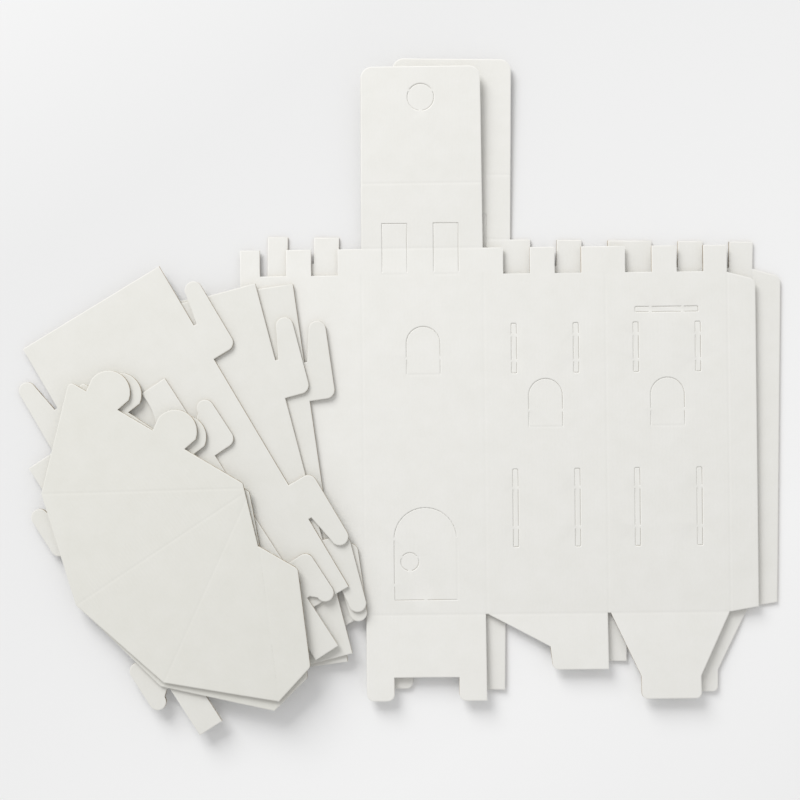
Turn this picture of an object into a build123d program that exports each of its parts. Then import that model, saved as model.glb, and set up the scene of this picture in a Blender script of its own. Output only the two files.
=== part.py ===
from build123d import *
import math
import os

# Flat-packed play castle, die cut from white E-flute corrugated board.
# Two tower wraps lie flat on the table, one on the other. A fanned pile of curtain walls,
# a gate wall and two tower roofs leans on their left edge, with its own left side on the table.
# Millimetres, +Z up, origin on the table under the middle of the whole layout.

# Board and die
board = 1.6  # thickness of the corrugated board
crease_depth = 0.35  # how far a scored fold line is pressed in
crease_width = 1.4
kerf = 0.8  # width of a knife cut whose blank is still in place
nick = 1.4  # uncut bridge that keeps a blank in its sheet
slot_width = 4.2  # slot that takes a hook once its blank is pushed out
slot_corner = 1.2
slot_clearance = 0.4  # play of a hook or tongue in its slot

# Tower wrap: four wall panels and a glue flap
panel_width = 76.2
wall_height = 213.0  # bottom fold to the floor of the battlement gaps
merlon_height = 16.4
merlon_width = 15.8
gap_width = 16.4
first_merlon = 12.6  # part merlon at the left fold of a panel
glue_flap_width = 17.6
glue_flap_foot = 3.0  # rise of the flap's bottom edge
glue_flap_shoulder = 5.4  # drop of the flap's top edge
glue_flap_corner = 5.0
flap_relief = 0.6  # gap between a flap's root and the fold beside it

# Deck flap that folds down inside the tower
deck_drop = 40.3  # from the battlement's top to the deck's fold
deck_depth = 72.0
deck_relief = 1.0  # how much the deck tapers on each side
deck_corner = 7.0
deck_hole = 17.5
deck_hole_setback = 19.0  # hole centre below the deck's front edge
stand_merlon_rise = 16.0  # how far a stand-up merlon reaches over the fold

# Snap-lock base
notched_flap_depth = 53.4
lock_notch_width = 40.3
lock_notch_depth = 14.6
notched_flap_corner = 4.5
tongue_shoulder = 39.4  # depth at which the lock tongue begins
tongue_length = 13.9
tongue_corner = 3.5
dust_flap_depth = 34.8
dust_flap_slope = 20.4  # drop of the dust flap's slanting edge
dust_flap_run = 38.6  # width of the dust flap's slanting edge
dust_flap_corner = 4.0

# Door and windows
door_width = 40.0
door_height = 58.6
door_sill = 8.8
knob_hole = 12.2
knob_inset = 10.2  # knob centre from the door's closing edge
knob_rise = 24.4  # knob centre above the door's bottom
window_width = 22.0
window_height = 30.6
door_window_sill = 150.2  # window over the door
side_window_sill = 116.8  # windows in the other panels

# Hooks that join the curtain walls to the tower slots
neck_height = 24.6  # height of a hook's root on the wall
hook_reach = 16.4  # how far a hook stands out of the wall
finger_width = 11.0
finger_gap = 1.8  # width of the cut between finger and wall at its closed end
hook_heel = 5.5  # corner radius at a hook's step
curtain_finger = 24.6  # finger length past the neck on a curtain wall
gate_finger = 8.8
hook_span = 140.3  # outer end of the upper neck to outer end of the lower neck
hook_slot_low = 41.4  # bottom of the lower slots above the base fold
upper_slot_play = 7.4  # extra length of the upper slots over a neck
slot_pitch = 38.8  # distance between the two slots of a panel
banner_slot_width = 40.3
banner_slot_height = 189.6
banner_slot_gap = 4.2

# Curtain walls and the gate wall
curtain_width = 100.8
curtain_foot = 164.2  # upper step to the bottom edge
low_shoulder = 67.8  # upper step to the top edge of the low curtain wall
high_shoulder = 74.2  # the same on the two taller curtain walls
gate_width = 103.2
gate_foot = 140.4
gate_shoulder = 57.6
gate_hook_span = 129.8
gate_leg = 16.8  # width of the legs beside the gate arch
gate_arch_height = 69.0
swag_post = 17.4  # width of the posts beside the round cut-out on top
swag_depth = 41.0

# Pyramid roof: four triangles round an apex
roof_slant = 132.3
roof_angle = 31.85  # angle of one triangle at the apex
roof_corner = 3.0
roof_tab_width = 23.2
roof_tab_height = 20.0
roof_tab_bulge = 3.0  # how far a tab's head hangs over its root
roof_tab_near = 48.0  # apex to the near end of the first tab's root
roof_tab_pitch = 48.4
apex_relief = 6.3
lock_flap_start = 36.0  # apex to the start of the roof's lock flap
lock_flap_end = 113.6  # apex to the end of its full width
lock_flap_width = 22.0
lock_flap_lead = 16.5  # length of its sloping end near the apex
lock_flap_corner = 3.5

# Layout of the two tower wraps: where the door panel's left base corner lies, and the turn
upper_wrap_place = (-21.53, -137.51, 0.65)
lower_wrap_place = (-8.83, -130.41, -0.55)
# Layout of the leaning pile, from the bottom up: distance right of the wraps' left edge,
# distance along that edge, and the turn of each sheet
pile_layout = {
    "curtain_wall_bottom": (44.4, -3.51, 8.3),
    "curtain_wall_middle": (29.3, -1.61, 14.8),
    "curtain_wall_top": (-15.1, 22.69, 30.8),
    "gate_wall": (-14.1, -37.21, 33.2),
    "roof_lower": (13.0, -62.81, 147.1),
    "roof_upper": (9.5, -57.01, 150.0),
}

# Worked out from the sizes above
crest = wall_height + merlon_height
deck_fold = crest + deck_drop
deck_front = deck_fold + deck_depth
lower_slot = neck_height + curtain_finger + slot_clearance
upper_slot = neck_height + upper_slot_play
upper_slot_top = hook_slot_low + hook_span + slot_clearance
tongue_width = lock_notch_width - 3.0


# Outlines shared by several sheets -------------------------------------------------------


def arch(width, height):
    """Opening that stands on the X axis, centred on the Y axis, with a half-round head."""
    radius = width / 2
    with BuildSketch(mode=Mode.PRIVATE) as outline:
        with BuildLine():
            Polyline((-radius, height - radius), (-radius, 0), (radius, 0), (radius, height - radius))
            ThreePointArc((radius, height - radius), (0, height), (-radius, height - radius))
        make_face()
    return outline.sketch


def window_cut(width, height):
    """Knife cut round a window blank that stays hinged along its sill and nicked at its sides."""
    with BuildSketch(mode=Mode.PRIVATE) as cut:
        add(arch(width, height))
        offset(amount=-kerf, kind=Kind.INTERSECTION, mode=Mode.SUBTRACT)
        with Locations((0, kerf / 2)):
            Rectangle(width - 2 * kerf, 2 * kerf, mode=Mode.SUBTRACT)
        with Locations((0, height / 3)):
            Rectangle(2 * width, nick, mode=Mode.SUBTRACT)
    return cut.sketch


def door_cut():
    """Knife cut round the door: closing side, head and bottom. The right side is a fold."""
    hinge_height = door_height - door_width / 2
    with BuildSketch(mode=Mode.PRIVATE) as cut:
        add(arch(door_width, door_height))
        offset(amount=-kerf, kind=Kind.INTERSECTION, mode=Mode.SUBTRACT)
        with Locations((door_width / 2, hinge_height / 2 + kerf)):
            Rectangle(2 * kerf + slot_clearance, hinge_height, mode=Mode.SUBTRACT)
        with Locations((-door_width / 2, hinge_height / 4), (-door_width / 2, hinge_height)):
            Rectangle(4 * kerf, nick, mode=Mode.SUBTRACT)
        with Locations((0, 0)):
            Rectangle(nick, 4 * kerf, mode=Mode.SUBTRACT)
    return cut.sketch


def disc_cut(diameter):
    """Knife cut round a finger-hole disc held by three nicks."""
    with BuildSketch(mode=Mode.PRIVATE) as cut:
        Circle(diameter / 2)
        Circle(diameter / 2 - kerf, mode=Mode.SUBTRACT)
        with PolarLocations(diameter / 2, 3, start_angle=30):
            Rectangle(4 * kerf, nick, mode=Mode.SUBTRACT)
    return cut.sketch


def slot_cut(width, height):
    """Knife cut round an upright slot blank that two nicks on each long side keep in its sheet."""
    with BuildSketch(mode=Mode.PRIVATE) as cut:
        RectangleRounded(width, height, slot_corner)
        offset(amount=-kerf, kind=Kind.INTERSECTION, mode=Mode.SUBTRACT)
        with Locations((0, -height / 4), (0, height / 4)):
            Rectangle(2 * width, nick, mode=Mode.SUBTRACT)
    return cut.sketch


def hook(finger):
    """Upward hook on the right side of a wall, with its step at the origin."""
    tip_radius = finger_width / 2
    tip = neck_height + finger
    inner = hook_reach - finger_width
    with BuildSketch(mode=Mode.PRIVATE) as shape:
        with BuildLine():
            Polyline((hook_reach, tip - tip_radius), (hook_reach, 0), (-board, 0), (-board, neck_height))
            Polyline((-board, neck_height), (finger_gap, neck_height), (inner, tip - tip_radius))
            ThreePointArc((inner, tip - tip_radius), (inner + tip_radius, tip), (hook_reach, tip - tip_radius))
        make_face()
        fillet(shape.vertices().group_by(Axis.Y)[0].sort_by(Axis.X)[-1], hook_heel)
    return shape.sketch


def hooked_blank(width, shoulder, foot, span, finger):
    """Wall blank with two hooks on each side. The origin is the step of the upper right hook."""
    one = hook(finger)
    lower_step = 2 * neck_height - span
    with BuildSketch(mode=Mode.PRIVATE) as blank:
        with Locations((0, shoulder)):
            Rectangle(width, shoulder + foot, align=(Align.MAX, Align.MAX))
        add(one)
        with Locations((0, lower_step)):
            add(mirrored_down(one))
        with Locations((-width, 0)):
            add(mirrored_left(one))
        with Locations((-width, lower_step)):
            add(mirrored_left(mirrored_down(one)))
    return blank.sketch


def mirrored_down(shape):
    """The same outline upside down."""
    return mirror(shape, about=Plane.XZ, mode=Mode.PRIVATE)


def mirrored_left(shape):
    """The same outline for the left side of a wall."""
    return mirror(shape, about=Plane.YZ, mode=Mode.PRIVATE)


# Tower wrap -------------------------------------------------------------------------------


def notched_flap():
    """Base flap of the door panel, with the notch that takes the lock tongue."""
    with BuildSketch(mode=Mode.PRIVATE) as flap:
        with BuildLine():
            Polyline(
                (flap_relief, 0),
                (panel_width - flap_relief, 0),
                (panel_width - flap_relief, -notched_flap_depth),
                (flap_relief, -notched_flap_depth),
                close=True,
            )
        make_face()
        with Locations((panel_width / 2, -notched_flap_depth)):
            Rectangle(lock_notch_width, 2 * lock_notch_depth, mode=Mode.SUBTRACT)
        fillet(flap.vertices().group_by(Axis.Y)[0].sort_by(Axis.X)[:3], notched_flap_corner)
    return flap.sketch


def tongue_flap():
    """Base flap opposite the door, tapering to the lock tongue."""
    middle = panel_width / 2
    half = tongue_width / 2
    tip = -tongue_shoulder - tongue_length
    with BuildSketch(mode=Mode.PRIVATE) as flap:
        with BuildLine():
            Polyline(
                (2 * flap_relief, 0),
                (panel_width - flap_relief, 0),
                (middle + half, -tongue_shoulder),
                (middle + half, tip),
                (middle - half, tip),
                (middle - half, -tongue_shoulder),
                close=True,
            )
        make_face()
        fillet(flap.vertices().group_by(Axis.Y)[0], tongue_corner)
    return flap.sketch


def dust_flap():
    """Base flap of a side panel, cut back on its left side."""
    with BuildSketch(mode=Mode.PRIVATE) as flap:
        with BuildLine():
            Polyline(
                (flap_relief, 0),
                (panel_width - flap_relief, 0),
                (panel_width - flap_relief, -dust_flap_depth),
                (dust_flap_run + flap_relief + board, -dust_flap_depth),
                (dust_flap_run + flap_relief, -dust_flap_slope),
                close=True,
            )
        make_face()
        fillet(flap.vertices().group_by(Axis.Y)[0].sort_by(Axis.X)[0], dust_flap_corner)
    return flap.sketch


def glue_flap():
    """Narrow flap at the end of the wrap, tapered so that it tucks in."""
    root = 3 * panel_width
    with BuildSketch(mode=Mode.PRIVATE) as flap:
        with BuildLine():
            Polyline(
                (root, 0),
                (root + glue_flap_width, glue_flap_foot),
                (root + glue_flap_width, wall_height - glue_flap_shoulder),
                (root, wall_height - flap_relief),
                close=True,
            )
        make_face()
        fillet(flap.vertices().sort_by(Axis.X)[-2:].sort_by(Axis.Y)[-1], glue_flap_corner)
    return flap.sketch


def deck_flap():
    """Flap above the door panel that folds in and down to make the tower's deck."""
    with BuildSketch(mode=Mode.PRIVATE) as flap:
        with BuildLine():
            Polyline(
                (0, wall_height),
                (panel_width, wall_height),
                (panel_width, crest),
                (panel_width - deck_relief, deck_front),
                (deck_relief, deck_front),
                (0, crest),
                close=True,
            )
        make_face()
        fillet(flap.vertices().group_by(Axis.Y)[-1], deck_corner)
    return flap.sketch


def battlements():
    """Merlons of one plain panel, from its left fold to its right fold."""
    second = first_merlon + gap_width
    third = second + merlon_width + gap_width
    with BuildSketch(mode=Mode.PRIVATE) as row:
        for start, width in ((0, first_merlon), (second, merlon_width), (third, panel_width - third)):
            with Locations((start, wall_height - board)):
                Rectangle(width, merlon_height + board, align=(Align.MIN, Align.MIN))
    return row.sketch


def panel_slots():
    """Knife cuts of a panel's two upper and two lower hook slots, centred on the Y axis."""
    with BuildSketch(mode=Mode.PRIVATE) as slots:
        with GridLocations(slot_pitch, 0, 2, 1):
            with Locations((0, hook_slot_low + lower_slot / 2)):
                add(slot_cut(slot_width, lower_slot))
            with Locations((0, upper_slot_top - upper_slot / 2)):
                add(slot_cut(slot_width, upper_slot))
    return slots.sketch


door_centre = panel_width / 2
knob = (door_centre - door_width / 2 + knob_inset, door_sill + knob_rise)
gap_centres = (first_merlon + gap_width / 2, first_merlon + 1.5 * gap_width + merlon_width)

with BuildSketch() as wrap_blank:
    with Locations((-panel_width, 0)):
        Rectangle(4 * panel_width, wall_height, align=(Align.MIN, Align.MIN))
        add(battlements())
        add(mirror(dust_flap().moved(Location((-panel_width, 0, 0))), about=Plane.YZ, mode=Mode.PRIVATE))
    with Locations((panel_width, 0), (2 * panel_width, 0)):
        add(battlements())
    add(deck_flap())
    add(notched_flap())
    with Locations((panel_width, 0)):
        add(dust_flap())
    with Locations((2 * panel_width, 0)):
        add(tongue_flap())
    add(glue_flap())
    # Stand-up merlons cut across the deck's root
    for centre in gap_centres:
        with Locations((centre, (wall_height + crest + stand_merlon_rise) / 2)):
            Rectangle(gap_width, merlon_height + stand_merlon_rise, mode=Mode.SUBTRACT)
            Rectangle(gap_width - 2 * kerf, merlon_height + stand_merlon_rise - 2 * kerf)
        with Locations((centre, wall_height + kerf / 2)):
            Rectangle(gap_width, 2 * kerf)
    with Locations((door_centre, deck_front - deck_hole_setback)):
        add(disc_cut(deck_hole), mode=Mode.SUBTRACT)
    with Locations((door_centre, door_sill)):
        add(door_cut(), mode=Mode.SUBTRACT)
    with Locations(knob):
        add(disc_cut(knob_hole), mode=Mode.SUBTRACT)
    with Locations((door_centre, door_window_sill)):
        add(window_cut(window_width, window_height), mode=Mode.SUBTRACT)
    for panel in (1, 2):
        middle = (panel + 0.5) * panel_width
        with Locations((middle, side_window_sill)):
            add(window_cut(window_width, window_height), mode=Mode.SUBTRACT)
        with Locations((middle, 0)):
            add(panel_slots(), mode=Mode.SUBTRACT)
    with Locations(Location((2.5 * panel_width, banner_slot_height, 0), (0, 0, 90))):
        add(slot_cut(banner_slot_gap, banner_slot_width), mode=Mode.SUBTRACT)

with BuildSketch() as wrap_folds:
    for fold in range(4):
        with Locations((fold * panel_width, wall_height / 2)):
            Rectangle(crease_width, wall_height)
    with Locations((panel_width, 0)):
        Rectangle(4 * panel_width, crease_width)
    for level in (crest, deck_fold):
        with Locations((door_centre, level)):
            Rectangle(panel_width, crease_width)
    # Hinges of the stand-up merlons, windows and door
    for centre in gap_centres:
        with Locations((centre, wall_height)):
            Rectangle(gap_width, crease_width)
    with Locations((door_centre, door_window_sill)):
        Rectangle(window_width, crease_width)
    for panel in (1, 2):
        with Locations(((panel + 0.5) * panel_width, side_window_sill)):
            Rectangle(window_width, crease_width)
    with Locations((door_centre + door_width / 2, door_sill + (door_height - door_width / 2) / 2)):
        Rectangle(crease_width, door_height - door_width / 2)

upper_wrap = Plane(Location((upper_wrap_place[0], upper_wrap_place[1], board), (0, 0, upper_wrap_place[2])))
lower_wrap = Plane(Location((lower_wrap_place[0], lower_wrap_place[1], 0), (0, 0, lower_wrap_place[2])))

os.makedirs("parts", exist_ok=True)
for name, place in {"tower_wrap_lower": lower_wrap, "tower_wrap_upper": upper_wrap}.items():
    with BuildPart() as tower_wrap:
        with BuildSketch(place):
            add(wrap_blank.sketch)
        extrude(amount=board)
        with BuildSketch(place.offset(board)):
            add(wrap_folds.sketch)
        extrude(amount=-crease_depth, mode=Mode.SUBTRACT)
    tower_wrap.part.label = name
    export_step(tower_wrap.part, f"parts/{name}.step")


# Leaning pile -----------------------------------------------------------------------------

# The pile's underside passes through the upper wrap's left edge and through the table under
# the lowest curtain wall's upper left hook.
lean_edge = min(
    upper_wrap.from_local_coords((-panel_width, 0)).X,
    upper_wrap.from_local_coords((-panel_width, crest)).X,
)
lowest_offset, _, lowest_turn = pile_layout["curtain_wall_bottom"]
far_hook = Vector(-curtain_width - hook_reach, neck_height + curtain_finger, 0).rotate(Axis.Z, lowest_turn)
lean_run = -(lowest_offset + far_hook.X)
lean = math.degrees(math.asin(2 * board / lean_run))
pile = Plane(Location((lean_edge, 0, 2 * board), (0, -lean, 0)))


def pile_plane(name):
    """Underside of one sheet of the pile. Each sheet lies flat on the sheet below it."""
    right, along, turn = pile_layout[name]
    layer = list(pile_layout).index(name)
    return Plane(pile.location * Location((right, along, layer * board), (0, 0, turn)))


curtain_shoulders = {
    "curtain_wall_bottom": high_shoulder,
    "curtain_wall_middle": high_shoulder,
    "curtain_wall_top": low_shoulder,
}

for name, shoulder in curtain_shoulders.items():
    with BuildPart() as curtain_wall:
        with BuildSketch(pile_plane(name)):
            add(hooked_blank(curtain_width, shoulder, curtain_foot, hook_span, curtain_finger))
        extrude(amount=board)
    curtain_wall.part.label = name
    export_step(curtain_wall.part, f"parts/{name}.step")

with BuildPart() as gate_wall:
    with BuildSketch(pile_plane("gate_wall")):
        add(hooked_blank(gate_width, gate_shoulder, gate_foot, gate_hook_span, gate_finger))
        with Locations((-gate_width / 2, -gate_foot)):
            add(arch(gate_width - 2 * gate_leg, gate_arch_height), mode=Mode.SUBTRACT)
        with Locations((-gate_width / 2, gate_shoulder)):
            add(mirrored_down(arch(gate_width - 2 * swag_post, swag_depth)), mode=Mode.SUBTRACT)
    extrude(amount=board)
gate_wall.part.label = "gate_wall"
export_step(gate_wall.part, "parts/gate_wall.step")


def on_slant(edge, distance):
    """Point on the roof's slant edge of that number, at a distance from the apex."""
    angle = math.radians(edge * roof_angle)
    return Vector(distance * math.cos(angle), distance * math.sin(angle))


def roof_tab():
    """Rounded hook tab that hangs below the X axis, with its root at the origin and to the right."""
    head = roof_tab_height - roof_tab_width / 2
    with BuildSketch(mode=Mode.PRIVATE) as tab:
        with BuildLine():
            Polyline((-roof_tab_bulge, -head), (0, 0), (0, board), (roof_tab_width, board))
            Polyline((roof_tab_width, board), (roof_tab_width, 0), (roof_tab_width + kerf, -head))
            ThreePointArc(
                (roof_tab_width + kerf, -head),
                ((roof_tab_width + kerf - roof_tab_bulge) / 2, -roof_tab_height),
                (-roof_tab_bulge, -head),
            )
        make_face()
    return tab.sketch


with BuildSketch() as roof_blank:
    with BuildLine():
        Polyline(
            (apex_relief, 0),
            on_slant(0, roof_slant),
            on_slant(1, roof_slant),
            on_slant(2, roof_slant),
            on_slant(3, roof_slant),
            on_slant(4, roof_slant),
            on_slant(4, lock_flap_start) + on_slant(3, kerf),
            close=True,
        )
    make_face()
    fillet(roof_blank.vertices().sort_by_distance(on_slant(0, roof_slant))[0], roof_corner)
    for start in (roof_tab_near, roof_tab_near + roof_tab_pitch):
        with Locations((start, 0)):
            add(roof_tab())

with BuildSketch(Plane(Location((0, 0, 0), (0, 0, 4 * roof_angle)))) as roof_lock:
    with BuildLine():
        Polyline(
            (lock_flap_start, 0),
            (lock_flap_start + lock_flap_lead, lock_flap_width),
            (lock_flap_end, lock_flap_width),
            (roof_slant, 0),
            (roof_slant, -kerf),
            (lock_flap_start, -kerf),
            close=True,
        )
    make_face()
    fillet(roof_lock.vertices().group_by(Axis.Y)[-1], lock_flap_corner)

with BuildSketch(Plane(Location((0, 0, 0), (0, 0, 4 * roof_angle)))) as roof_slits:
    slit = roof_tab_width + slot_clearance
    for start in (roof_tab_near, roof_tab_near + roof_tab_pitch):
        with Locations((start - slot_clearance / 2, -kerf / 2)):
            Rectangle(slit, kerf, align=(Align.MIN, Align.MIN))

with BuildSketch() as roof_folds:
    for edge in (1, 2, 3):
        with BuildLine():
            Line(on_slant(edge, apex_relief), on_slant(edge, roof_slant))
        trace(line_width=crease_width)
    with BuildLine():
        Line(on_slant(4, lock_flap_start), on_slant(4, roof_slant))
    trace(line_width=crease_width)

for name in ("roof_lower", "roof_upper"):
    place = pile_plane(name)
    with BuildPart() as roof:
        with BuildSketch(place):
            add(roof_blank.sketch)
            add(roof_lock.sketch)
            add(roof_slits.sketch, mode=Mode.SUBTRACT)
        extrude(amount=board)
        with BuildSketch(place.offset(board)):
            add(roof_folds.sketch)
        extrude(amount=-crease_depth, mode=Mode.SUBTRACT)
    roof.part.label = name
    export_step(roof.part, f"parts/{name}.step")

print(f"lean of the pile {lean:.2f} degrees over {lean_run:.1f} mm")
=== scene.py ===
import sys

import logging
import math
from dataclasses import dataclass, field
from enum import Enum

import bpy
import numpy as np
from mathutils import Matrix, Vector
from mathutils.geometry import convex_hull_2d, delaunay_2d_cdt


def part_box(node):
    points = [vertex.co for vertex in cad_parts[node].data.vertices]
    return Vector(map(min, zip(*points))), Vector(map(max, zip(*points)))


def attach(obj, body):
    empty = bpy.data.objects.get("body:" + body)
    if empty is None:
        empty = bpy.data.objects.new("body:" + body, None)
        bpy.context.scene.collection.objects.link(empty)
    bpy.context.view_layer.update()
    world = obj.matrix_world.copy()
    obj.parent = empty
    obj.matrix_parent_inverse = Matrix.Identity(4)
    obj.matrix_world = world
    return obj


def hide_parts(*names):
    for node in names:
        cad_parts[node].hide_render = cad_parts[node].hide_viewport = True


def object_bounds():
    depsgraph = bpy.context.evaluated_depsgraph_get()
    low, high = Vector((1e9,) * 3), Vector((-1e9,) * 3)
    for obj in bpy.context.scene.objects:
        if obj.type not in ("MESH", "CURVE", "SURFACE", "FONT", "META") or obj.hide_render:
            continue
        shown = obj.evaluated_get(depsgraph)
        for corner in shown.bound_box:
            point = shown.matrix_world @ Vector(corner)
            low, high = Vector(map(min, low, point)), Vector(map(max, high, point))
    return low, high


# Looks of a flat-packed play castle: white-lined fine-flute corrugated board, die cut, creased
# and laid out on a pale table. Board sizes are in millimetres, the scene itself in metres.

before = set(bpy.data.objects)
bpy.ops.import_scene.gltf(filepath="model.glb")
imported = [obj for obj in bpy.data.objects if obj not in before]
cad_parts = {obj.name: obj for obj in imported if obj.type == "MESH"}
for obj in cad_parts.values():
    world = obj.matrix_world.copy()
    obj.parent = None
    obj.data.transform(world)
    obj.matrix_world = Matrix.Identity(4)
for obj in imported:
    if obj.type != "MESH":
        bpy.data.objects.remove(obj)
CAD_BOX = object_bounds()

log = logging.getLogger("castle")
MM = 0.001

DOUBLE = 0.004  # points of an outline nearer than this are one, mm
SPECK = 0.05  # smallest outline that is a cut or a fold, square mm
MITRE_SPREAD = 0.6  # least divisor at a moved loop's corner, which keeps sharp mitres short
FACE_ON = 0.99  # least cosine of a face that lies in the sheet's plane
LEVEL_STEP = 0.1  # faces further apart than this across the board are on two levels, mm
MERGE_DIGITS = 3  # corners of the node that agree to a thousandth of a millimetre are one
VALID_FACES = 3  # kind of filling that adds edges until each face is a plain one
FILL_NEAREST = 1e-5  # points nearer than this are merged while filling, mm
SLIVER = 1e-9  # keeps the facing of a triangle without area from a division by nought
OVERRUN = 1.0  # how far guide lines run past the sheet, mm
RIM_SHARES = (0.35, 0.7, 1, 1.35)  # guide loops in from a cut, as shares of its crushed rim
SHARP_ANGLE = math.radians(40)  # a liner's face and its cut edge meet in a sharp edge
# Place on the board, in mm: across the flutes, along them, and up from the underside.
BOARD_PLACE = {"attribute_name": "board_place"}


class Grain(Enum):
    """How the flutes of a sheet run."""

    ALONG_LONGEST_CUT = "along"
    ACROSS_LONGEST_CUT = "across"
    ALONG_SPAN = "span"


@dataclass(frozen=True)
class Board:
    """Corrugated board: two paper liners glued to a waved medium.

    Attributes:
        thickness: whole board, outside to outside.
        liner: thickness of each liner.
        medium: thickness of the waved sheet between them.
        pitch: flute spacing.
        steps: facets in one wave.
        press_depth: how deep a crease is pressed at its middle.
        press_shoulder: how far the pressing spreads outside the creasing rule.
        press_floor: how far inside the rule the crease reaches its full depth.
        crush_depth: how far the die crushes the upper liner down at an open cut.
        knife_crush: how far it crushes it at a cut whose blank is still in place.
        crush_width: width of the crushed rim.
        draw_back: how far the upper liner stands back from the lower one at a cut.
        kerf: width of the node's knife cuts.
        slit: widest hole, taken as twice its area over its rim, that counts as a knife cut.
        spring_shut: how far each side of a knife cut springs back against its blank.
        bridge: longest uncut bridge between two knife cuts of one blank.
        sink: how far a blank sits below its sheet.
        hinge_run: distance from its hinge over which a blank sinks that far.
    """

    thickness: float = 1.6
    liner: float = 0.24
    medium: float = 0.18
    pitch: float = 2.4
    steps: int = 8
    press_depth: float = 0.06
    press_shoulder: float = 0.6
    press_floor: float = 0.6
    crush_depth: float = 0.16
    knife_crush: float = 0.2
    crush_width: float = 0.55
    draw_back: float = 0.1
    kerf: float = 0.8
    slit: float = 1.0
    spring_shut: float = 0.37
    bridge: float = 2.6
    sink: float = 0.22
    hinge_run: float = 8.0


# Flat geometry ----------------------------------------------------------------------------


def sides_of(loop: np.ndarray) -> tuple[np.ndarray, np.ndarray]:
    """Start and end points of a closed loop's sides."""
    return loop, np.roll(loop, -1, axis=0)


def area_of(loop: np.ndarray) -> float:
    """Signed area of a closed loop, positive when it runs counter-clockwise."""
    start, end = sides_of(loop)
    return float((start[:, 0] * end[:, 1] - end[:, 0] * start[:, 1]).sum() / 2)


def lengths_of(loop: np.ndarray) -> np.ndarray:
    """Lengths of a closed loop's sides."""
    start, end = sides_of(loop)
    return np.linalg.norm(end - start, axis=1)


def without_doubles(loop: np.ndarray) -> np.ndarray:
    """The loop without points that lie on the one after them."""
    return loop[lengths_of(loop) > DOUBLE]


def shifted(loop: np.ndarray, inward: float) -> np.ndarray:
    """A copy of a loop moved towards its left side with mitred corners.

    Args:
        loop: closed loop with the material on its left.
        inward: distance to the left; negative moves it to the right.

    Returns:
        The moved loop, with as many points.
    """
    start, end = sides_of(loop)
    run = (end - start) / lengths_of(loop)[:, None]
    left = np.stack((-run[:, 1], run[:, 0]), axis=1)
    before = np.roll(left, 1, axis=0)
    spread = np.maximum(1 + (left * before).sum(axis=1), MITRE_SPREAD)
    return loop + inward * (left + before) / spread[:, None]


def distance_to(points: np.ndarray, loops: list[np.ndarray], reach: float) -> np.ndarray:
    """Distance from each point to the nearest side of any loop.

    Args:
        points: the points.
        loops: closed loops.
        reach: largest distance that is told apart.

    Returns:
        One distance for each point, no more than reach.
    """
    nearest = np.full(len(points), reach)
    for loop in loops:
        low, high = loop.min(axis=0) - reach, loop.max(axis=0) + reach
        close = np.flatnonzero(((points >= low) & (points <= high)).all(axis=1))
        for start, end in zip(*sides_of(loop)):
            near_x = np.abs(points[close, 0] - (start[0] + end[0]) / 2)
            near_y = np.abs(points[close, 1] - (start[1] + end[1]) / 2)
            room = np.abs(end - start) / 2 + reach
            some = close[(near_x < room[0]) & (near_y < room[1])]
            if not len(some):
                continue
            run = end - start
            share = ((points[some] - start) @ run / (run @ run)).clip(0, 1)
            gap = np.linalg.norm(points[some] - start - share[:, None] * run, axis=1)
            nearest[some] = np.minimum(nearest[some], gap)
    return nearest


def inside(points: np.ndarray, loops: list[np.ndarray]) -> np.ndarray:
    """Which points lie inside an odd number of loops.

    Args:
        points: the points.
        loops: closed loops.

    Returns:
        True or False for each point.
    """
    odd = np.zeros(len(points), bool)
    for loop in loops:
        for (x0, y0), (x1, y1) in zip(*sides_of(loop)):
            if y0 == y1:
                continue
            crosses = (points[:, 1] < y0) != (points[:, 1] < y1)
            at = x0 + (points[:, 1] - y0) * (x1 - x0) / (y1 - y0)
            odd ^= crosses & (points[:, 0] < at)
    return odd


def smooth_step(value: np.ndarray) -> np.ndarray:
    """Eased step from 0 to 1 as the value goes from 0 to 1."""
    held = np.clip(value, 0, 1)
    return held * held * (3 - 2 * held)


@dataclass
class FlatMesh:
    """Faces that fill an outline, split along guide lines.

    Attributes:
        points: corners of the faces.
        faces: corner numbers of each face, counter-clockwise.
    """

    points: np.ndarray
    faces: list[list[int]]

    @classmethod
    def fill(
        cls, cuts: list[np.ndarray], rings: list[np.ndarray], lines: np.ndarray
    ) -> "FlatMesh":
        """Fills the outline with faces.

        Args:
            cuts: the outer loop and then the holes, each with the material on its left.
            rings: closed loops that faces are split along.
            lines: straight guide lines, as an array of (start, end) points.

        Returns:
            The filled outline.
        """
        points, edges, faces = [], [], []
        for loop in cuts:
            first = len(points)
            points.extend(loop)
            ring = list(range(first, len(points)))
            faces.append(ring if area_of(loop) > 0 else ring[::-1])
        for loop in rings:
            first = len(points)
            points.extend(loop)
            count = len(loop)
            edges.extend((first + i, first + (i + 1) % count) for i in range(count))
        for start, end in lines:
            edges.append((len(points), len(points) + 1))
            points.extend((start, end))
        spots = [Vector(point) for point in points]
        corners, _, filled, _, _, sources = delaunay_2d_cdt(
            spots, edges, faces, VALID_FACES, FILL_NEAREST, True
        )
        # A filled face belongs to the sheet if it came from the outer loop and from no hole.
        kept = [list(face) for face, source in zip(filled, sources) if list(source) == [0]]
        used = sorted({corner for face in kept for corner in face})
        number = {corner: i for i, corner in enumerate(used)}
        flat = np.array([corners[corner] for corner in used], float)
        return cls(flat, [[number[corner] for corner in face] for face in kept])

    def rim(self) -> list[tuple[int, int]]:
        """Sides that belong to one face only, with the material on their left."""
        sides = {(f[i - 1], f[i]) for f in self.faces for i in range(len(f))}
        return [(a, b) for a, b in sides if (b, a) not in sides]


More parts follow.
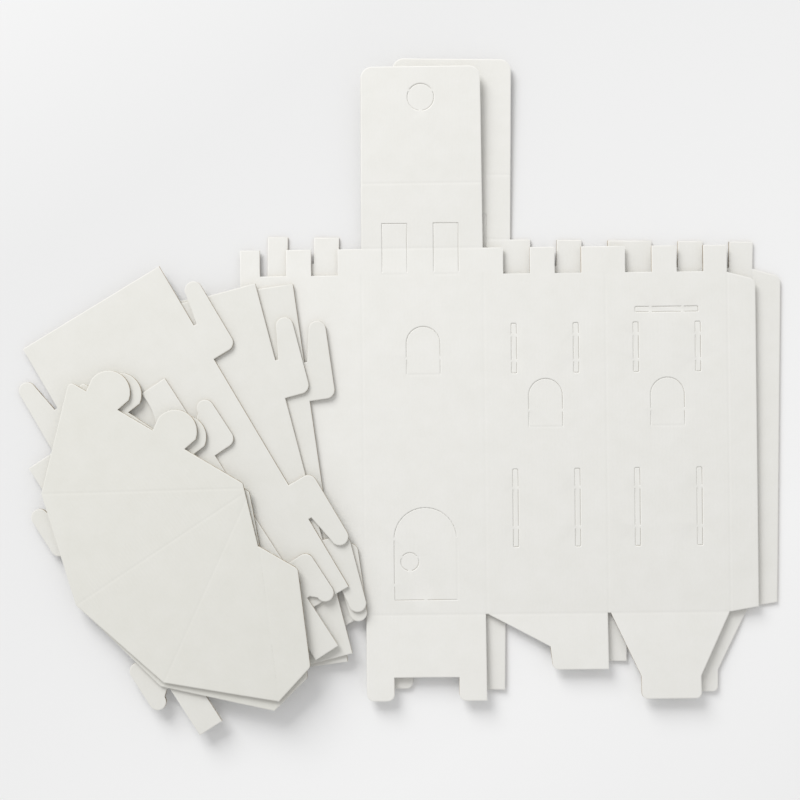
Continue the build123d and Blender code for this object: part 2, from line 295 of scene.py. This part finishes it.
@dataclass
class SheetPlan:
    """A flat sheet as its node gives it, in millimetres on its own plane.

    Attributes:
        corner: a point of the underside in the shared frame.
        across: direction across the flutes.
        along: direction of the flutes.
        normal: direction out of the upper face.
        cuts: outer loop first and then the holes, with the material on their left.
        folds: outlines of the pressed fold lines.
    """

    corner: np.ndarray
    across: np.ndarray
    along: np.ndarray
    normal: np.ndarray
    cuts: list[np.ndarray]
    folds: list[np.ndarray]

    @classmethod
    def read(cls, node: str, grain: Grain) -> "SheetPlan":
        """Works the plan out from a node's faces.

        Args:
            node: name of the node.
            grain: how the flutes run.

        Returns:
            The sheet's plan.
        """
        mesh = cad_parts[node].data
        places = np.array([v.co for v in mesh.vertices]) / MM
        _, first, number = np.unique(
            np.round(places, MERGE_DIGITS), axis=0, return_index=True, return_inverse=True
        )
        places, number = places[first], number.reshape(-1)
        faces = np.array([number[list(p.vertices)] for p in mesh.polygons])
        a, b, c = (places[faces[:, i]] for i in range(3))
        facing = np.cross(b - a, c - a)
        steep = facing[:, 2] / np.maximum(np.linalg.norm(facing, axis=1), SLIVER)
        under, over = faces[steep < -FACE_ON], faces[steep > FACE_ON]
        normal = -facing[steep < -FACE_ON].sum(axis=0)
        normal /= np.linalg.norm(normal)
        level = places[under].mean(axis=1) @ normal
        under = under[level < np.median(level) + LEVEL_STEP]
        corner = places[under[0, 0]]
        depth = (places[over] - corner).mean(axis=1) @ normal
        floors = over[depth < depth.max() - LEVEL_STEP]
        across = np.cross((0, 1, 0), normal)
        plan = cls(corner, across / np.linalg.norm(across), np.zeros(3), normal, [], [])
        plan.along = np.cross(normal, plan.across)
        outlines = [loop[::-1] for loop in plan.loops(places, under)]
        turn = plan.grain_turn(outlines[0], grain)
        plan.across, plan.along = (
            math.cos(turn) * plan.across + math.sin(turn) * plan.along,
            math.cos(turn) * plan.along - math.sin(turn) * plan.across,
        )
        plan.cuts = [loop[::-1] for loop in plan.loops(places, under)]
        plan.folds = plan.loops(places, floors)
        return plan

    def loops(self, places: np.ndarray, faces: np.ndarray) -> list[np.ndarray]:
        """Outlines of a set of faces.

        Args:
            places: corners in the shared frame, mm.
            faces: corner numbers of triangles that lie in the sheet's plane.

        Returns:
            Closed loops on the sheet's plane, the largest first.
        """
        sides = {(int(f[i - 1]), int(f[i])) for f in faces for i in range(3)}
        after: dict[int, list[int]] = {}
        for start, end in sorted(sides):
            if (end, start) not in sides:
                after.setdefault(start, []).append(end)
        loops = []
        while after:
            chain = [min(after)]
            while chain[-1] in after:
                ends = after[chain[-1]]
                chain.append(ends.pop())
                if not ends:
                    del after[chain[-2]]
            away = places[chain[:-1]] - self.corner
            loop = without_doubles(np.stack((away @ self.across, away @ self.along), axis=1))
            if len(loop) > 2 and abs(area_of(loop)) > SPECK:
                loops.append(loop)
        return sorted(loops, key=lambda loop: -abs(area_of(loop)))

    def grain_turn(self, outline: np.ndarray, grain: Grain) -> float:
        """Angle that turns the plan so that its second direction runs along the flutes.

        Args:
            outline: the sheet's outer loop on the unturned plan.
            grain: how the flutes run.

        Returns:
            The angle in radians, from minus to plus a quarter turn.
        """
        start, end = sides_of(outline)
        run = end - start
        longest = run[np.linalg.norm(run, axis=1).argmax()]
        if grain is Grain.ALONG_SPAN:
            spread = np.cov((outline - outline.mean(axis=0)).T)
            longest = np.linalg.eigh(spread)[1][:, 1]
        angle = math.atan2(longest[1], longest[0])
        if grain is not Grain.ACROSS_LONGEST_CUT:
            angle -= math.pi / 2
        return (angle + math.pi / 2) % math.pi - math.pi / 2

    def placed(self, flat: np.ndarray, height: np.ndarray) -> np.ndarray:
        """Points of the shared frame, in millimetres, at a height over the sheet's underside."""
        spots = self.corner + np.outer(flat[:, 0], self.across) + np.outer(flat[:, 1], self.along)
        return spots + np.outer(height, self.normal)


# Finishes ---------------------------------------------------------------------------------


def linear(hex_colour: str) -> tuple[float, float, float, float]:
    """Linear colour of an sRGB hex value.

    Args:
        hex_colour: red, green and blue, such as #E7E6E2.

    Returns:
        The linear red, green and blue, and full alpha.
    """
    parts = [int(hex_colour[i : i + 2], 16) / 255 for i in (1, 3, 5)]
    red, green, blue = (p / 12.92 if p <= 0.04045 else ((p + 0.055) / 1.055) ** 2.4 for p in parts)
    return red, green, blue, 1.0


def add_node(
    tree: bpy.types.NodeTree, kind: str, settings: dict[str, object] | None = None, **links: object
) -> bpy.types.Node:
    """Adds a node with its settings and its inputs.

    Args:
        tree: node tree that gets the node.
        kind: type name of the node.
        settings: values of the node's own properties.
        **links: inputs by name, with _ for a space, or by number after a _: each is an output
            socket or a plain value.

    Returns:
        The new node.
    """
    node = tree.nodes.new(kind)
    for name, value in (settings or {}).items():
        setattr(node, name, value)
    for name, value in links.items():
        key = int(name[1:]) if name[1:].isdigit() else name.replace("_", " ")
        socket = node.inputs[key]
        if isinstance(value, bpy.types.NodeSocket):
            tree.links.new(value, socket)
        else:
            socket.default_value = value
    return node


def new_material(name: str) -> tuple[bpy.types.Material, bpy.types.NodeTree]:
    """Makes an empty node material.

    Args:
        name: its name.

    Returns:
        The material and its tree.
    """
    material = bpy.data.materials.new(name)
    material.use_nodes = True
    material.node_tree.nodes.clear()
    return material, material.node_tree


@dataclass(frozen=True)
class WhiteLiner:
    """White-top test liner: bleached paper, calendered and uncoated, so matt with a soft tooth.

    Light scatters in the open fibres, which gives an even, slightly warm white with faint clouds
    and no highlight. The flutes under the paper telegraph through as very shallow ribs.

    Attributes:
        name: material name.
        light: colour of the paper where its fibres lie thin.
        dark: colour of its denser clouds.
        roughness: uncoated paper scatters nearly evenly.
        cloud: size of the paper's cloudy formation, mm.
        fibre: width and length of a fibre bundle, mm; real ones are ten times finer.
        fibre_share: how much the fibres weigh in the tone against the clouds.
        tone_floor: share of the summed tone at which the paper is at its darkest.
        tooth: height of the fibres' relief, mm.
        washboard: half of how far the liner sinks between flute tips, mm.
        pitch: flute spacing, mm.
        ior: refractive index of cellulose.
        specular: weak, because the open fibres break the gloss up.
    """

    name: str
    light: str
    dark: str
    roughness: float = 0.88
    cloud: float = 16.0
    fibre: tuple[float, float] = (0.7, 2.6)
    fibre_share: float = 0.45
    tone_floor: float = 0.45
    tooth: float = 0.02
    washboard: float = 0.004
    pitch: float = 2.4
    ior: float = 1.47
    specular: float = 0.25

    def make(self) -> bpy.types.Material:
        """Builds the paper from clouds, fibres and the washboard of the flutes under it.

        Returns:
            The material.
        """
        material, tree = new_material(self.name)
        place = add_node(tree, "ShaderNodeAttribute", BOARD_PLACE).outputs["Vector"]
        cloud = add_node(
            tree,
            "ShaderNodeTexNoise",
            Vector=place,
            Scale=1 / self.cloud,
            Detail=4.0,
            Roughness=0.6,
        )
        across, along = self.fibre
        stretch = add_node(
            tree,
            "ShaderNodeVectorMath",
            {"operation": "MULTIPLY"},
            _0=place,
            _1=(1 / across, 1 / along, 1 / across),
        )
        fibre = add_node(
            tree, "ShaderNodeTexNoise", Vector=stretch.outputs["Vector"], Scale=1.0, Detail=3.0
        )
        split = add_node(tree, "ShaderNodeSeparateXYZ", Vector=place)
        phase = add_node(
            tree,
            "ShaderNodeMath",
            {"operation": "MULTIPLY"},
            _0=split.outputs["X"],
            _1=2 * math.pi / self.pitch,
        )
        wave = add_node(tree, "ShaderNodeMath", {"operation": "SINE"}, _0=phase.outputs[0])
        tone = add_node(
            tree,
            "ShaderNodeMath",
            {"operation": "MULTIPLY_ADD"},
            _0=fibre.outputs["Fac"],
            _1=self.fibre_share,
            _2=cloud.outputs["Fac"],
        )
        ramp = add_node(tree, "ShaderNodeValToRGB", Fac=tone.outputs[0])
        ramp.color_ramp.elements[0].position = self.tone_floor
        ramp.color_ramp.elements[0].color = linear(self.dark)
        ramp.color_ramp.elements[1].position = 1.0
        ramp.color_ramp.elements[1].color = linear(self.light)
        ridge = add_node(
            tree,
            "ShaderNodeMath",
            {"operation": "MULTIPLY"},
            _0=wave.outputs[0],
            _1=self.washboard * MM,
        )
        relief = add_node(
            tree,
            "ShaderNodeMath",
            {"operation": "MULTIPLY_ADD"},
            _0=fibre.outputs["Fac"],
            _1=self.tooth * MM,
            _2=ridge.outputs[0],
        )
        # The relief is already in metres, so the bump takes it as it is.
        bump = add_node(
            tree, "ShaderNodeBump", Strength=1.0, Distance=1.0, Height=relief.outputs[0]
        )
        shader = add_node(
            tree,
            "ShaderNodeBsdfPrincipled",
            Base_Color=ramp.outputs["Color"],
            Roughness=self.roughness,
            IOR=self.ior,
            Specular_IOR_Level=self.specular,
            Normal=bump.outputs["Normal"],
        )
        add_node(tree, "ShaderNodeOutputMaterial", Surface=shader.outputs["BSDF"])
        return material


@dataclass(frozen=True)
class RawPaper:
    """Cut or bare paper inside the board, where the bleached skin ends: rough and slightly tan.

    Attributes:
        name: material name.
        light: colour of the open fibres.
        dark: colour of the hollows between them.
        grain: size of the torn fibre tufts, mm.
        contrast: shares of the tufts' noise at which the dark and the light tone are reached.
        tuft_height: height of the tufts, mm.
        tuft_strength: how much of that height shows.
        roughness: torn fibres scatter evenly.
        ior: refractive index of cellulose.
        specular: weaker still than on the liner's face.
    """

    name: str
    light: str
    dark: str
    grain: float = 0.35
    contrast: tuple[float, float] = (0.3, 0.7)
    tuft_height: float = 0.05
    tuft_strength: float = 0.5
    roughness: float = 0.95
    ior: float = 1.47
    specular: float = 0.15

    def make(self) -> bpy.types.Material:
        """Builds the paper from tufts of two tones.

        Returns:
            The material.
        """
        material, tree = new_material(self.name)
        place = add_node(tree, "ShaderNodeAttribute", BOARD_PLACE).outputs["Vector"]
        tuft = add_node(tree, "ShaderNodeTexNoise", Vector=place, Scale=1 / self.grain, Detail=3.0)
        ramp = add_node(tree, "ShaderNodeValToRGB", Fac=tuft.outputs["Fac"])
        ramp.color_ramp.elements[0].position = self.contrast[0]
        ramp.color_ramp.elements[0].color = linear(self.dark)
        ramp.color_ramp.elements[1].position = self.contrast[1]
        ramp.color_ramp.elements[1].color = linear(self.light)
        bump = add_node(
            tree,
            "ShaderNodeBump",
            Strength=self.tuft_strength,
            Distance=self.tuft_height * MM,
            Height=tuft.outputs["Fac"],
        )
        shader = add_node(
            tree,
            "ShaderNodeBsdfPrincipled",
            Base_Color=ramp.outputs["Color"],
            Roughness=self.roughness,
            IOR=self.ior,
            Specular_IOR_Level=self.specular,
            Normal=bump.outputs["Normal"],
        )
        add_node(tree, "ShaderNodeOutputMaterial", Surface=shader.outputs["BSDF"])
        return material


@dataclass(frozen=True)
class TableTop:
    """Matt white laminate of the table, with painted shade that greys it a little towards its far
    side, where the key light stands, so that it offsets part of that light's fall-off.

    Attributes:
        name: material name.
        near: colour on the near side of the layout.
        far: colour on its far side, darker as painted shade.
        reach: how far from the middle those colours are reached, m.
        turn: direction of the change, as x and y.
        roughness: satin-free melamine face, which mirrors nothing.
        specular: faint sheen of its resin.
    """

    name: str = "matt_white_laminate"
    near: str = "#F8F8F8"
    far: str = "#E3E3E3"
    reach: float = 0.25
    turn: tuple[float, float] = (-0.7, 1.0)
    roughness: float = 0.9
    specular: float = 0.1

    def make(self) -> bpy.types.Material:
        """Builds the laminate with its painted shade, a slow change of tone towards the key
        light's side.

        Returns:
            The material.
        """
        material, tree = new_material(self.name)
        place = add_node(tree, "ShaderNodeTexCoord").outputs["Object"]
        run = add_node(
            tree,
            "ShaderNodeVectorMath",
            {"operation": "DOT_PRODUCT"},
            _0=place,
            _1=(*self.turn, 0.0),
        )
        share = add_node(
            tree,
            "ShaderNodeMapRange",
            _0=run.outputs["Value"],
            _1=-self.reach,
            _2=self.reach,
        )
        # Painted shade: the table darkens towards the key light's side, which offsets part of the
        # light's fall-off across it.
        ramp = add_node(tree, "ShaderNodeValToRGB", Fac=share.outputs["Result"])
        ramp.color_ramp.elements[0].color = linear(self.near)
        ramp.color_ramp.elements[1].color = linear(self.far)
        shader = add_node(
            tree,
            "ShaderNodeBsdfPrincipled",
            Base_Color=ramp.outputs["Color"],
            Roughness=self.roughness,
            Specular_IOR_Level=self.specular,
        )
        add_node(tree, "ShaderNodeOutputMaterial", Surface=shader.outputs["BSDF"])
        return material


class Papers:
    """Attributes:
        liners: white liner of each material slot.
        core: cut edges of the liners.
        medium: fluting paper.
    """

    def __init__(self) -> None:
        """Makes every paper."""
        self.liners = {
            "wrap_board": WhiteLiner("white_top_liner_wrap", "#EAE9E5", "#E6E5E0").make(),
            "wall_board": WhiteLiner("white_top_liner_wall", "#E3E2DD", "#DFDED8").make(),
            "roof_board": WhiteLiner("white_top_liner_roof", "#E1E0DA", "#DDDCD5").make(),
        }
        self.core = RawPaper("cut_liner_edge", "#CDC4B4", "#B5A996").make()
        self.medium = RawPaper("fluting_paper", "#B29C78", "#8F7A5A", 0.8).make()


# Sheets -----------------------------------------------------------------------------------


@dataclass
class Lie:
    """How the sheets settle on the table: a leaning pile sags, free flaps spring up a little.

    Attributes:
        edge: x of the wraps' left edge, which the pile leans on, mm.
        slope: rise of the pile for each millimetre to the right.
        settled: share of that rise that the board's own weight takes away past the edge.
        ease: distance over which the sag sets in, mm.
        loose_run: distance over which two sheets that touch on the left part, mm.
    """

    edge: float
    slope: float
    settled: float = 0.35
    ease: float = 26.0
    loose_run: float = 80.0

    def sag(self, x: np.ndarray) -> np.ndarray:
        """Drop of the pile at each x, mm."""
        past = np.maximum(x - self.edge, 0)
        return past * self.slope * self.settled * (1 - np.exp(-past / self.ease))


@dataclass
class Sheet:
    """Attributes:
        node: node that the sheet stands for.
        slot: material slot of the record.
        lie: how the sheets settle on the table.
        loose: how far its right part stands off its place, because no sheet is quite flat, mm.
        grain: how its flutes run.
        board: the board that it is cut from.
        liner_grid: spacing of the liners' guide lines, mm.
        row_grid: spacing of the fluting's cross lines, mm.
        plan: the sheet as its node gives it.
        low: least corner of its outline on the plan.
        high: greatest corner of its outline on the plan.
        hulls: outlines of the blanks still in place.
    """

    node: str
    slot: str
    lie: Lie
    loose: float = 0.0
    grain: Grain = Grain.ACROSS_LONGEST_CUT
    board: Board = field(default_factory=Board)
    liner_grid: float = 9.0
    row_grid: float = 10.0

    def __post_init__(self) -> None:
        """Reads the sheet's plan from the frame and finds its blanks."""
        self.plan = SheetPlan.read(self.node, self.grain)
        self.low = self.plan.cuts[0].min(axis=0)
        self.high = self.plan.cuts[0].max(axis=0)
        self.hulls = self.blanks()

    def settle(self, spots: np.ndarray, flat: np.ndarray) -> np.ndarray:
        """Height that a point gains by the way the sheet lies, mm.

        Args:
            spots: points of the shared frame, mm.
            flat: the same points on the plan; not used here.

        Returns:
            One height for each point.
        """
        past = spots[:, 0] - spots[:, 0].min()
        return self.loose * (1 - np.exp(-past / self.lie.loose_run)) - self.lie.sag(spots[:, 0])

    def is_knife_cut(self, loop: np.ndarray) -> bool:
        """Whether a loop is a thin knife cut whose blank is still in place."""
        return 2 * abs(area_of(loop)) / lengths_of(loop).sum() < self.board.slit

    def trimmed(self, draw_back: float) -> list[np.ndarray]:
        """The sheet's cuts, with open ones drawn back and knife cuts sprung nearly shut.

        Args:
            draw_back: how far the material stands back from an open cut, mm.

        Returns:
            The outer loop first and then the holes, with the material on their left.
        """
        shut = -self.board.spring_shut
        return [
            shifted(loop, shut if self.is_knife_cut(loop) else draw_back)
            for loop in self.plan.cuts
        ]

    def blanks(self) -> list[np.ndarray]:
        """Finds the blanks still in place.

        Returns:
            Their outlines, each the hull of the knife cuts round it.
        """
        groups: list[np.ndarray] = []
        for loop in filter(self.is_knife_cut, self.plan.cuts):
            apart = []
            for group in groups:
                gap = np.linalg.norm(group[:, None] - loop[None], axis=2).min()
                if gap < self.board.bridge:
                    loop = np.concatenate((loop, group))
                else:
                    apart.append(group)
            groups = [*apart, loop]
        return [group[convex_hull_2d([Vector(point) for point in group])] for group in groups]

    def sunk(self, flat: np.ndarray) -> np.ndarray:
        """How far the blanks sit below the sheet.

        Args:
            flat: points on the plan.

        Returns:
            One depth for each point, mm.
        """
        board = self.board
        middles = np.array([loop.mean(axis=0) for loop in self.plan.folds]).reshape(-1, 2)
        depth = np.zeros(len(flat))
        for blank in self.hulls:
            near = ((flat > blank.min(axis=0)) & (flat < blank.max(axis=0))).all(axis=1)
            spots = np.flatnonzero(near)
            spots = spots[inside(flat[spots], [blank])]
            # The hull follows the cut's outer side, and the blank starts past the cut's middle.
            spots = spots[distance_to(flat[spots], [blank], board.kerf) > board.kerf / 2]
            beside = distance_to(middles, [blank], board.bridge) < board.bridge
            hinges = [loop for loop, is_beside in zip(self.plan.folds, beside) if is_beside]
            free = smooth_step(distance_to(flat[spots], hinges, board.hinge_run) / board.hinge_run)
            depth[spots] += board.sink * free
        return depth

    def pressed(self, flat: np.ndarray) -> np.ndarray:
        """Depth of the creases.

        Args:
            flat: points on the plan.

        Returns:
            One depth for each point, mm.
        """
        board = self.board
        travel = board.press_shoulder + board.press_floor
        gap = distance_to(flat, self.plan.folds, travel)
        signed = np.where(inside(flat, self.plan.folds), gap, -gap)
        return board.press_depth * smooth_step((signed + board.press_shoulder) / travel)

    def crushed(self, flat: np.ndarray) -> np.ndarray:
        """Depth to which the die crushed the upper liner.

        Args:
            flat: points on the plan.

        Returns:
            One depth for each point, mm.
        """
        board = self.board
        rims = self.trimmed(board.draw_back)
        thin = [self.is_knife_cut(loop) for loop in self.plan.cuts]
        depth = np.zeros(len(flat))
        for knife, crush in ((False, board.crush_depth), (True, board.knife_crush)):
            loops = [rim for rim, kind in zip(rims, thin) if kind == knife]
            gap = distance_to(flat, loops, board.crush_width)
            depth = np.maximum(depth, crush * (1 - smooth_step(gap / board.crush_width)))
        return depth

    def grid(self, across: float, along: float) -> np.ndarray:
        """Guide lines across and along the flutes.

        Args:
            across: spacing of the lines that run along the flutes, mm.
            along: spacing of the lines that run across them, mm.

        Returns:
            An array of (start, end) points.
        """
        (left, foot), (right, head) = self.low - OVERRUN, self.high + OVERRUN
        lines = []
        for i in range(math.ceil(left / across), math.floor(right / across) + 1):
            lines.append(((i * across, foot), (i * across, head)))
        for i in range(math.ceil(foot / along), math.floor(head / along) + 1):
            lines.append(((left, i * along), (right, i * along)))
        return np.array(lines)

    def fold_rings(self) -> list[np.ndarray]:
        """Guide loops that give the creases their rounded section.

        Returns:
            Loops from outside each crease's shoulder to where it is deepest.
        """
        shoulder, floor = self.board.press_shoulder, self.board.press_floor
        # The outermost loop keeps the flat face's shading from running into the crease.
        steps = (-1.5 * shoulder, -shoulder, -shoulder / 3, 0, floor / 2, floor)
        return [shifted(loop, step) for loop in self.plan.folds for step in steps]

    def shell(
        self, name: str, flat: FlatMesh, upper: np.ndarray, lower: np.ndarray
    ) -> bpy.types.Object:
        """Makes a closed skin between two surfaces over the same flat mesh.

        Args:
            name: name of the piece.
            flat: the flat mesh.
            upper: height of the upper surface at each point, mm.
            lower: height of the lower surface at each point, mm.

        Returns:
            The piece, with its place on the board stored for its paper.
        """
        count = len(flat.points)
        over, under = (self.plan.placed(flat.points, height) for height in (upper, lower))
        rise = self.settle(over, flat.points) - self.sunk(flat.points)
        spots = np.concatenate((over, under)) + np.outer(np.tile(rise, 2), (0, 0, 1))
        bottom = [[corner + count for corner in face[::-1]] for face in flat.faces]
        walls = [[a + count, b + count, b, a] for a, b in flat.rim()]
        mesh = bpy.data.meshes.new(name)
        mesh.from_pydata((spots * MM).tolist(), [], flat.faces + bottom + walls)
        place = mesh.attributes.new("board_place", "FLOAT_VECTOR", "POINT")
        own = np.concatenate([np.c_[flat.points, upper], np.c_[flat.points, lower]])
        place.data.foreach_set("vector", own.astype(np.float32).ravel())
        edge_faces = np.zeros(len(mesh.polygons), np.int32)
        edge_faces[2 * len(flat.faces) :] = 1
        mesh.polygons.foreach_set("material_index", edge_faces)
        mesh.shade_smooth()
        mesh.set_sharp_from_angle(angle=SHARP_ANGLE)
        mesh.validate()
        piece = bpy.data.objects.new(name, mesh)
        bpy.context.scene.collection.objects.link(piece)
        return piece

    def build_liners(self) -> list[bpy.types.Object]:
        """Builds the upper liner, creased and crushed at its cuts, and the flat lower one.

        Returns:
            The upper liner and the lower one.
        """
        board = self.board
        inner = self.trimmed(board.draw_back)
        rims = [shifted(loop, board.crush_width * share) for loop in inner for share in RIM_SHARES]
        lines = self.grid(self.liner_grid, self.liner_grid)
        top = FlatMesh.fill(inner, rims + self.fold_rings(), lines)
        upper = board.thickness - self.pressed(top.points) - self.crushed(top.points)
        over = self.shell(f"{self.node}_upper_liner", top, upper, upper - board.liner)
        bottom = FlatMesh.fill(self.trimmed(0.0), [], lines)
        flat = np.zeros(len(bottom.points))
        under = self.shell(f"{self.node}_lower_liner", bottom, flat + board.liner, flat)
        return [over, under]

    def build_fluting(self) -> bpy.types.Object:
        """Builds the waved medium, squeezed under creases and crushed rims.

        Returns:
            The fluting.
        """
        board = self.board
        steps = (-board.press_shoulder, 0.0)
        rings = [shifted(loop, step) for loop in self.plan.folds for step in steps]
        lines = self.grid(board.pitch / board.steps, self.row_grid)
        flat = FlatMesh.fill(self.trimmed(board.draw_back / 2), rings, lines)
        turn = flat.points[:, 0] * 2 * math.pi / board.pitch
        squeeze = self.pressed(flat.points) + self.crushed(flat.points)
        room = board.thickness - 2 * board.liner - squeeze
        swing = (room - board.medium) / 2
        middle = board.liner + room / 2 + swing * np.sin(turn)
        slope = swing * 2 * math.pi / board.pitch * np.cos(turn)
        # Measured upright, a steep paper is thicker than the paper itself.
        half = board.medium / 2 * np.sqrt(1 + slope**2)
        return self.shell(f"{self.node}_fluting", flat, middle + half, middle - half)

    def dress(
        self, papers: Papers, liners: list[bpy.types.Object], fluting: bpy.types.Object
    ) -> None:
        """Gives the liners and the fluting their papers, faces first and cut edges second.

        Args:
            liners: the sheet's two liners.
            fluting: its fluting.
        """
        for liner in liners:
            liner.data.materials.append(papers.liners[self.slot])
            liner.data.materials.append(papers.core)
        fluting.data.materials.append(papers.medium)
        fluting.data.materials.append(papers.medium)

    def build(self, papers: Papers) -> None:
        """Builds, dresses and reports the sheet, and puts it in its node's place.
        """
        liners = self.build_liners()
        fluting = self.build_fluting()
        self.dress(papers, liners, fluting)
        for piece in (*liners, fluting):
            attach(piece, "root")
            triangles = sum(len(p.vertices) - 2 for p in piece.data.polygons)
            log.info("%s: %d triangles", piece.name, triangles)
        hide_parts(self.node)


@dataclass
class TowerWrap(Sheet):
    """Tower wrap: four walls in a row, with base flaps and a deck flap that spring up.

    Attributes:
        base_spring: rise of the base flaps for each millimetre past their fold.
        deck_spring: rise of the deck flap for each millimetre past its fold.
        bow: how high the warped board stands off at its far right, mm.
        bow_slope: how steeply it rises from its left edge.
        fold_row: folds nearer than this along the sheet are in one row, mm.
        base: level of the base flaps' lowest fold on the plan.
        crest: level of the deck flap's fold on the plan.
    """

    base_spring: float = 0.055
    deck_spring: float = 0.05
    bow: float = 2.6
    bow_slope: float = 0.02
    fold_row: float = 10.0
    grain: Grain = Grain.ALONG_LONGEST_CUT
    liner_grid: float = 18.0
    row_grid: float = 24.0

    def __post_init__(self) -> None:
        """Reads the plan and finds the levels of the base fold and the battlement's top."""
        super().__post_init__()
        self.base = min(loop[:, 1].min() for loop in self.plan.folds)
        middles = np.array([loop[:, 1].mean() for loop in self.plan.folds])
        self.crest = middles[middles < middles.max() - self.fold_row].max()

    def settle(self, spots: np.ndarray, flat: np.ndarray) -> np.ndarray:
        """Rise of the bowed walls and of the flaps that spring up from their folds.

        Args:
            spots: points of the shared frame, mm.
            flat: the same points on the plan.

        Returns:
            One height for each point, mm.
        """
        past = np.maximum(spots[:, 0] - self.lie.edge, 0)
        bowed = self.bow * (1 - np.exp(-past * self.bow_slope / self.bow))
        flaps = np.maximum(self.base - flat[:, 1], 0) * self.base_spring
        deck = np.maximum(flat[:, 1] - self.crest, 0) * self.deck_spring
        return self.loose + bowed + flaps + deck


@dataclass
class RoofSheet(Sheet):
    """Roof blank: four triangles round an apex, fluted along its span and creased more lightly."""

    grain: Grain = Grain.ALONG_SPAN
    board: Board = field(
        default_factory=lambda: Board(press_depth=0.05, knife_crush=0.03, spring_shut=0.39)
    )


# Table, light and camera ------------------------------------------------------------------


@dataclass(frozen=True)
class Studio:
    """A pale table in soft light from the upper left, seen from straight above.

    Attributes:
        table_side: side of the table top, m.
        table_drop: how far the table lies below the lowest sheet, mm.
        key_toward: direction of the key light from the middle of the layout.
        key_distance: how far away it stands, m.
        key_size: side of its soft box, m.
        key_power: its power, W.
        surround: strength of the white surround.
        view_height: height of the camera over the table, m.
        view_width: width that the camera takes in at the table, m.
        view_middle: what the camera looks at, as x and y from the layout's middle, m.
        view_near: nearest distance that the camera sees, m.
        sensor: width of the camera's sensor, mm.
    """

    table_side: float = 6.0
    table_drop: float = 0.02
    key_toward: tuple[float, float, float] = (-0.58, 1.0, 0.72)
    key_distance: float = 2.3
    key_size: float = 1.2
    key_power: float = 43.0
    surround: float = 0.625
    view_height: float = 0.68
    view_width: float = 0.504
    view_middle: tuple[float, float] = (0.0002, -0.0027)
    view_near: float = 0.05
    sensor: float = 36.0

    def build_table(self) -> None:
        """Builds the table top, just under the lowest sheet."""
        half = self.table_side / 2
        level = -self.table_drop * MM
        signs = ((-1, -1), (1, -1), (1, 1), (-1, 1))
        corners = [(half * x, half * y, level) for x, y in signs]
        mesh = bpy.data.meshes.new("table_top")
        mesh.from_pydata(corners, [], [(0, 1, 2, 3)])
        mesh.materials.append(TableTop().make())
        table = bpy.data.objects.new("table_top", mesh)
        bpy.context.scene.collection.objects.link(table)

    def build_light(self) -> None:
        """Builds a broad soft key from the upper left and an even white surround."""
        key = bpy.data.lights.new("key", "AREA")
        key.energy = self.key_power
        key.size = self.key_size
        lamp = bpy.data.objects.new("key", key)
        toward = Vector(self.key_toward).normalized()
        lamp.location = toward * self.key_distance
        lamp.rotation_euler = toward.to_track_quat("Z", "Y").to_euler()
        bpy.context.scene.collection.objects.link(lamp)
        world = bpy.data.worlds.new("surround")
        world.use_nodes = True
        ground = world.node_tree.nodes["Background"]
        ground.inputs["Color"].default_value = (1.0, 1.0, 1.0, 1.0)
        ground.inputs["Strength"].default_value = self.surround
        bpy.context.scene.world = world

    def build_camera(self) -> None:
        """Builds the camera, straight above the middle of the layout."""
        low, high = CAD_BOX
        lens = bpy.data.cameras.new("overhead")
        lens.sensor_width = self.sensor
        lens.lens = self.sensor * self.view_height / self.view_width
        lens.clip_start = self.view_near
        camera = bpy.data.objects.new("overhead", lens)
        middle = (Vector(low) + Vector(high)) / 2
        aside, ahead = self.view_middle
        camera.location = (middle.x + aside, middle.y + ahead, self.view_height)
        bpy.context.scene.collection.objects.link(camera)
        bpy.context.scene.camera = camera
        bpy.context.scene.view_settings.view_transform = "Standard"


def main() -> None:
    logging.basicConfig(level=logging.INFO, format="%(message)s", stream=sys.stdout)
    papers = Papers()
    upper_wrap_low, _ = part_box("tower_wrap_upper")
    pile = SheetPlan.read("curtain_wall_bottom", Grain.ACROSS_LONGEST_CUT)
    lie = Lie(edge=upper_wrap_low.x / MM, slope=-pile.normal[0] / pile.normal[2])
    sheets = [
        TowerWrap(
            "tower_wrap_lower",
            "wrap_board",
            lie,
            board=Board(sink=0.0),
            bow=0.3,
            bow_slope=0.002,
            base_spring=0.02,
            deck_spring=0.025,
        ),
        TowerWrap("tower_wrap_upper", "wrap_board", lie),
        Sheet("curtain_wall_bottom", "wall_board", lie, loose=0.3),
        Sheet("curtain_wall_middle", "wall_board", lie, loose=0.6),
        Sheet("curtain_wall_top", "wall_board", lie, loose=1.0),
        Sheet("gate_wall", "wall_board", lie, loose=1.4, grain=Grain.ALONG_LONGEST_CUT),
        RoofSheet("roof_lower", "roof_board", lie, loose=2.4),
        RoofSheet("roof_upper", "roof_board", lie, loose=3.4),
    ]
    for sheet in sheets:
        sheet.build(papers)
    studio = Studio()
    studio.build_table()
    studio.build_light()
    studio.build_camera()


if __name__ == "__main__":
    main()
